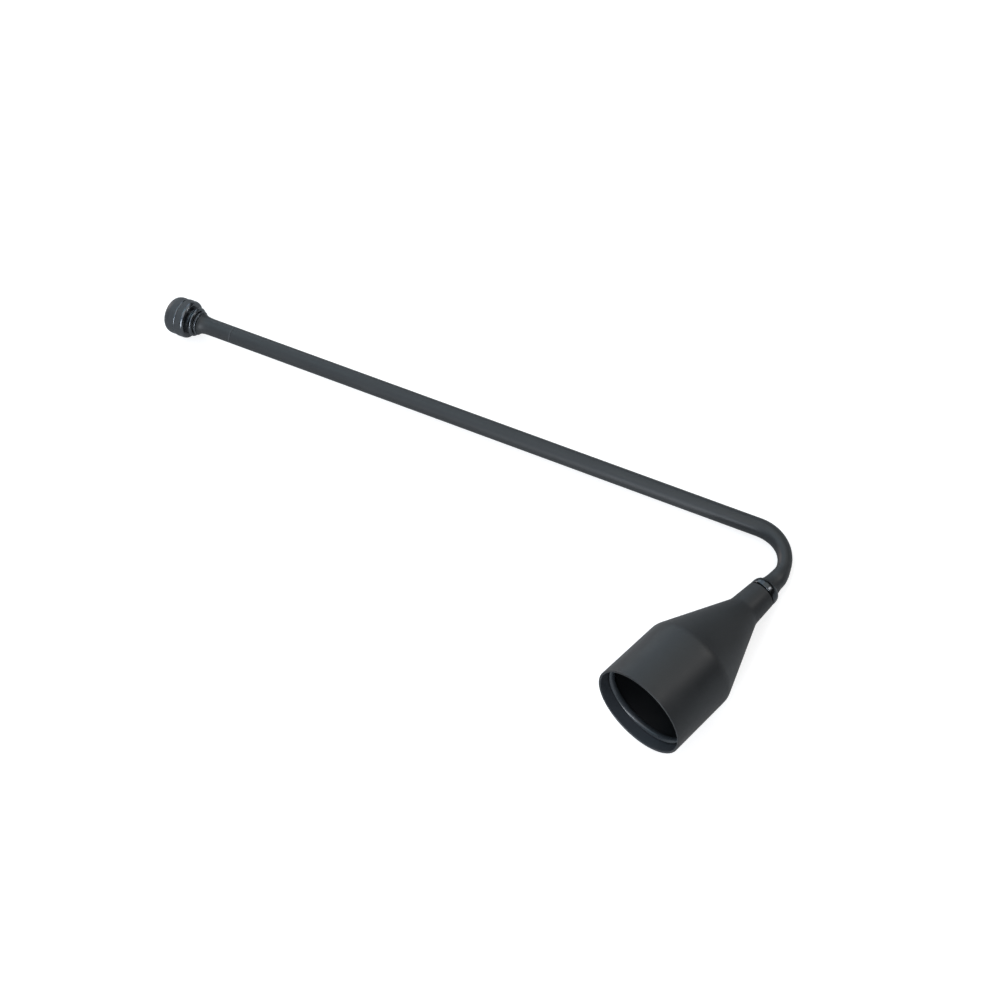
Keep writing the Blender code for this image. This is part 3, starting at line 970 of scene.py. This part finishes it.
@dataclass
class Bearing:
    """The swivel inside the bell's neck: a flanged bush, a thrust washer and a hexagon nut on the stud."""

    axes: Axes
    bore: float = 1.8
    neck_top: float = 20.893
    bush_radius: float = 2.5
    flange_start: float = 29.252
    flange_end: float = 30.052
    flange_radius: float = 3.3
    washer_start: float = 30.352
    washer_end: float = 30.852
    washer_radius: float = 3.3
    nut_start: float = 31.152
    nut_end: float = 33.552
    nut_across_flats: float = 5.5
    nut_chamfer: float = 0.45
    nut_spare: float = 0.02
    nut_sides: int = 6
    edge: float = 0.08

    def bush(self) -> None:
        """Turn the flanged brass bush and dress it."""
        corners = [
            (self.neck_top, self.bore, 0),
            (self.neck_top, self.bush_radius, self.edge),
            (self.flange_start, self.bush_radius, self.edge),
            (self.flange_start, self.flange_radius, self.edge),
            (self.flange_end, self.flange_radius, self.edge),
            (self.flange_end, self.bore, 0),
        ]
        piece = turn("swivel_bush", rounded(corners), self.axes.bell(), SMALL_SIDES)
        dress(piece, BRASS.material(), Body.BELL, "neck_bush")

    def washer(self) -> None:
        """Turn the steel washer and dress it."""
        corners = [
            (self.washer_start, self.bore, 0),
            (self.washer_start, self.washer_radius, self.edge),
            (self.washer_end, self.washer_radius, self.edge),
            (self.washer_end, self.bore, 0),
        ]
        piece = turn("swivel_washer", rounded(corners), self.axes.bell(), SMALL_SIDES)
        dress(piece, STEEL.material(), Body.HANDLE, "thrust_washer")

    def nut(self) -> None:
        """Cut a hexagon out of a chamfered, bored blank and dress it."""
        corner_radius = self.nut_across_flats / 2 / math.cos(math.pi / self.nut_sides)
        middle = (self.nut_start + self.nut_end) / 2
        blank = [
            (self.nut_start, self.bore + self.nut_chamfer / 2),
            (self.nut_start, corner_radius - self.nut_chamfer),
            (self.nut_start + self.nut_chamfer / 2, corner_radius + self.nut_spare),
            (self.nut_end - self.nut_chamfer / 2, corner_radius + self.nut_spare),
            (self.nut_end, corner_radius - self.nut_chamfer),
            (self.nut_end, self.bore + self.nut_chamfer / 2),
            (self.nut_end - self.nut_chamfer / 2, self.bore),
            (self.nut_start + self.nut_chamfer / 2, self.bore),
        ]
        spindle = self.axes.bell()
        nut = turn("swivel_nut", blank, spindle, SMALL_SIDES)
        prism = bmesh.new()
        bmesh.ops.create_cone(
            prism,
            cap_ends=True,
            segments=self.nut_sides,
            radius1=corner_radius * MM,
            radius2=corner_radius * MM,
            depth=2 * (self.nut_end - self.nut_start) * MM,
        )
        mesh = bpy.data.meshes.new("hexagon")
        prism.to_mesh(mesh)
        prism.free()
        mesh.transform(spindle.matrix() @ Matrix.Translation((0, 0, middle * MM)))
        hexagon = bpy.data.objects.new("hexagon", mesh)
        bpy.context.scene.collection.objects.link(hexagon)
        cut = nut.modifiers.new("Hexagon", "BOOLEAN")
        cut.operation = "INTERSECT"
        cut.object = hexagon
        depsgraph = bpy.context.evaluated_depsgraph_get()
        shaped = bpy.data.meshes.new_from_object(nut.evaluated_get(depsgraph))
        nut.modifiers.clear()
        nut.data = shaped
        bpy.data.objects.remove(hexagon)
        smooth_with_creases(nut.data)
        dress(nut, ZINC.material(), Body.HANDLE, "retaining_nut")

    def build(self) -> None:
        """Build the bush, the washer and the nut."""
        self.bush()
        self.washer()
        self.nut()


@dataclass(frozen=True)
class Softbox:
    """A soft lamp at an angle round the snuffer and above the floor: a disc, or an upright strip."""

    name: str
    azimuth_deg: float
    elevation_deg: float
    watts: float
    colour: str
    diameter: float = 1.1
    length: float = 0.0
    distance: float = 2.0

    def hang(self, aim: Vector) -> None:
        """Hang the lamp in its place.

        Args:
            aim: the point that it looks at.
        """
        light = bpy.data.lights.new(self.name, "AREA")
        light.shape = "RECTANGLE" if self.length else "DISK"
        light.size = self.diameter
        if self.length:
            light.size_y = self.length
        light.energy = self.watts
        light.color = linear(self.colour)[:3]
        back = look_back(self.azimuth_deg, self.elevation_deg)
        lamp = bpy.data.objects.new(self.name, light)
        lamp.location = aim + back * self.distance
        lamp.rotation_euler = (-back).to_track_quat("-Z", "Y").to_euler()
        bpy.context.scene.collection.objects.link(lamp)


SOFTBOXES = (
    Softbox("overhead", 0, 82, 9.6, "#fff8f3", diameter=1.7),
    Softbox("front_high", 4, 56, 8.0, "#cce6ff", diameter=1.9),
    Softbox("front_strip", 16, 24, 26.0, "#f4f9ff", diameter=0.3, length=1.5),
    Softbox("left_high", 270, 56, 8.4, "#c9edff", diameter=1.4),
    Softbox("left_low", 270, 10, 10.6, "#fff0ee", diameter=0.7),
    Softbox("left_back", 225, 30, 4.8, "#deeeff"),
    Softbox("left_back_low", 240, 10, 3.3, "#e4f6ff", diameter=0.7),
    Softbox("back_high", 190, 54, 8.5, "#fafffd", diameter=1.7),
    Softbox("back_spot", 144, 38, 6.5, "#f8f4f2", diameter=0.45),
)


@dataclass
class Studio:
    """A pale floor, soft lamps, and the camera of the photograph."""

    floor_size: float = 30.0
    floor_colour: str = "#bcbcbc"
    seen_glow: float = 0.75
    shadow_reach: float = 0.25
    white_reach: float = 0.75
    mirrored_glow: float = 0.1
    world_glow: float = 0.03
    aim: tuple[float, float, float] = (0.014377, -0.004653, -0.000020)
    azimuth_deg: float = 59.234
    elevation_deg: float = 60.926
    roll_deg: float = -18.674
    distance: float = 0.546613
    lens_mm: float = 72.0
    sensor_mm: float = 36.0
    nearest: float = 0.01

    def glow(
        self, tree: bpy.types.NodeTree, seen: float | bpy.types.NodeSocket, mirrored: float
    ) -> bpy.types.NodeSocket:
        """Work out a glow that lights nothing and only makes the background white where it is seen.

        Args:
            tree: the node tree that it goes into.
            seen: its strength for the camera.
            mirrored: its strength for what metal mirrors and glass lets through.

        Returns:
            The strength as a socket.
        """
        path = add_node(tree, "LightPath")
        in_mirror = add_node(
            tree,
            "Math",
            {0: path.outputs["Is Glossy Ray"], 1: path.outputs["Is Transmission Ray"]},
            {"operation": "MAXIMUM"},
        )
        reflected = add_node(tree, "Math", {0: in_mirror.outputs[0], 1: mirrored}, {"operation": "MULTIPLY"})
        return add_node(
            tree,
            "Math",
            {0: path.outputs["Is Camera Ray"], 1: seen, 2: reflected.outputs[0]},
            {"operation": "MULTIPLY_ADD"},
        ).outputs[0]

    def floor(self) -> None:
        """Lay the floor, which shows white behind the snuffer and keeps its shadow."""
        build = bmesh.new()
        bmesh.ops.create_grid(build, x_segments=1, y_segments=1, size=self.floor_size / 2)
        mesh = bpy.data.meshes.new("floor")
        build.to_mesh(mesh)
        build.free()
        floor = bpy.data.objects.new("floor", mesh)
        bpy.context.scene.collection.objects.link(floor)
        material, tree = new_tree("white_paper_floor")
        place = add_node(tree, "TexCoord").outputs["Object"]
        reach = add_node(tree, "VectorMath", {0: place}, {"operation": "LENGTH"})
        seen = add_node(
            tree,
            "MapRange",
            {
                "Value": reach.outputs["Value"],
                "From Min": self.shadow_reach,
                "From Max": self.white_reach,
                "To Min": self.seen_glow,
                "To Max": 1.0,
            },
        )
        paper = add_node(tree, "BsdfDiffuse", {"Color": linear(self.floor_colour)})
        strength = self.glow(tree, seen.outputs[0], self.mirrored_glow)
        glow = add_node(tree, "Emission", {"Strength": strength})
        both = add_node(tree, "AddShader", {0: paper.outputs["BSDF"], 1: glow.outputs["Emission"]})
        add_node(tree, "OutputMaterial", {"Surface": both.outputs["Shader"]})
        mesh.materials.append(material)

    def world(self) -> None:
        """Set the world to a faint fill that is white where it is seen."""
        world = bpy.data.worlds.new("studio")
        world.use_nodes = True
        tree = world.node_tree
        tree.nodes.clear()
        shown = self.glow(tree, 1.0, self.world_glow)
        strength = add_node(tree, "Math", {0: shown, 1: self.world_glow}, {"operation": "ADD"})
        sky = add_node(tree, "Background", {"Color": linear("#ffffff"), "Strength": strength.outputs[0]})
        add_node(tree, "OutputWorld", {"Surface": sky.outputs["Background"]})
        bpy.context.scene.world = world

    def camera(self) -> None:
        """Set the camera where the photograph was taken from."""
        back = look_back(self.azimuth_deg, self.elevation_deg)
        data = bpy.data.cameras.new("photo_camera")
        data.lens = self.lens_mm
        data.sensor_width = self.sensor_mm
        data.clip_start = self.nearest
        camera = bpy.data.objects.new("photo_camera", data)
        camera.location = Vector(self.aim) + back * self.distance
        level = (-back).to_track_quat("-Z", "Y")
        roll = Matrix.Rotation(math.radians(self.roll_deg), 3, "Z")
        camera.rotation_euler = (level.to_matrix() @ roll).to_euler()
        bpy.context.scene.collection.objects.link(camera)
        bpy.context.scene.camera = camera

    def build(self) -> None:
        """Set up the floor, the lamps, the camera and the view."""
        self.floor()
        self.world()
        for softbox in SOFTBOXES:
            softbox.hang(Vector(self.aim))
        self.camera()
        bpy.context.scene.view_settings.view_transform = "Standard"


def main() -> None:
    """Build the snuffer's pieces in order, and the studio round them."""
    logging.basicConfig(level=logging.INFO, format="%(name)s: %(message)s")
    axes = Axes()
    Bar(axes).build()
    Knob(axes).build()
    Collar(axes).build()
    Bell(axes).build()
    Bearing(axes).build()
    Studio().build()


if __name__ == "__main__":
    main()
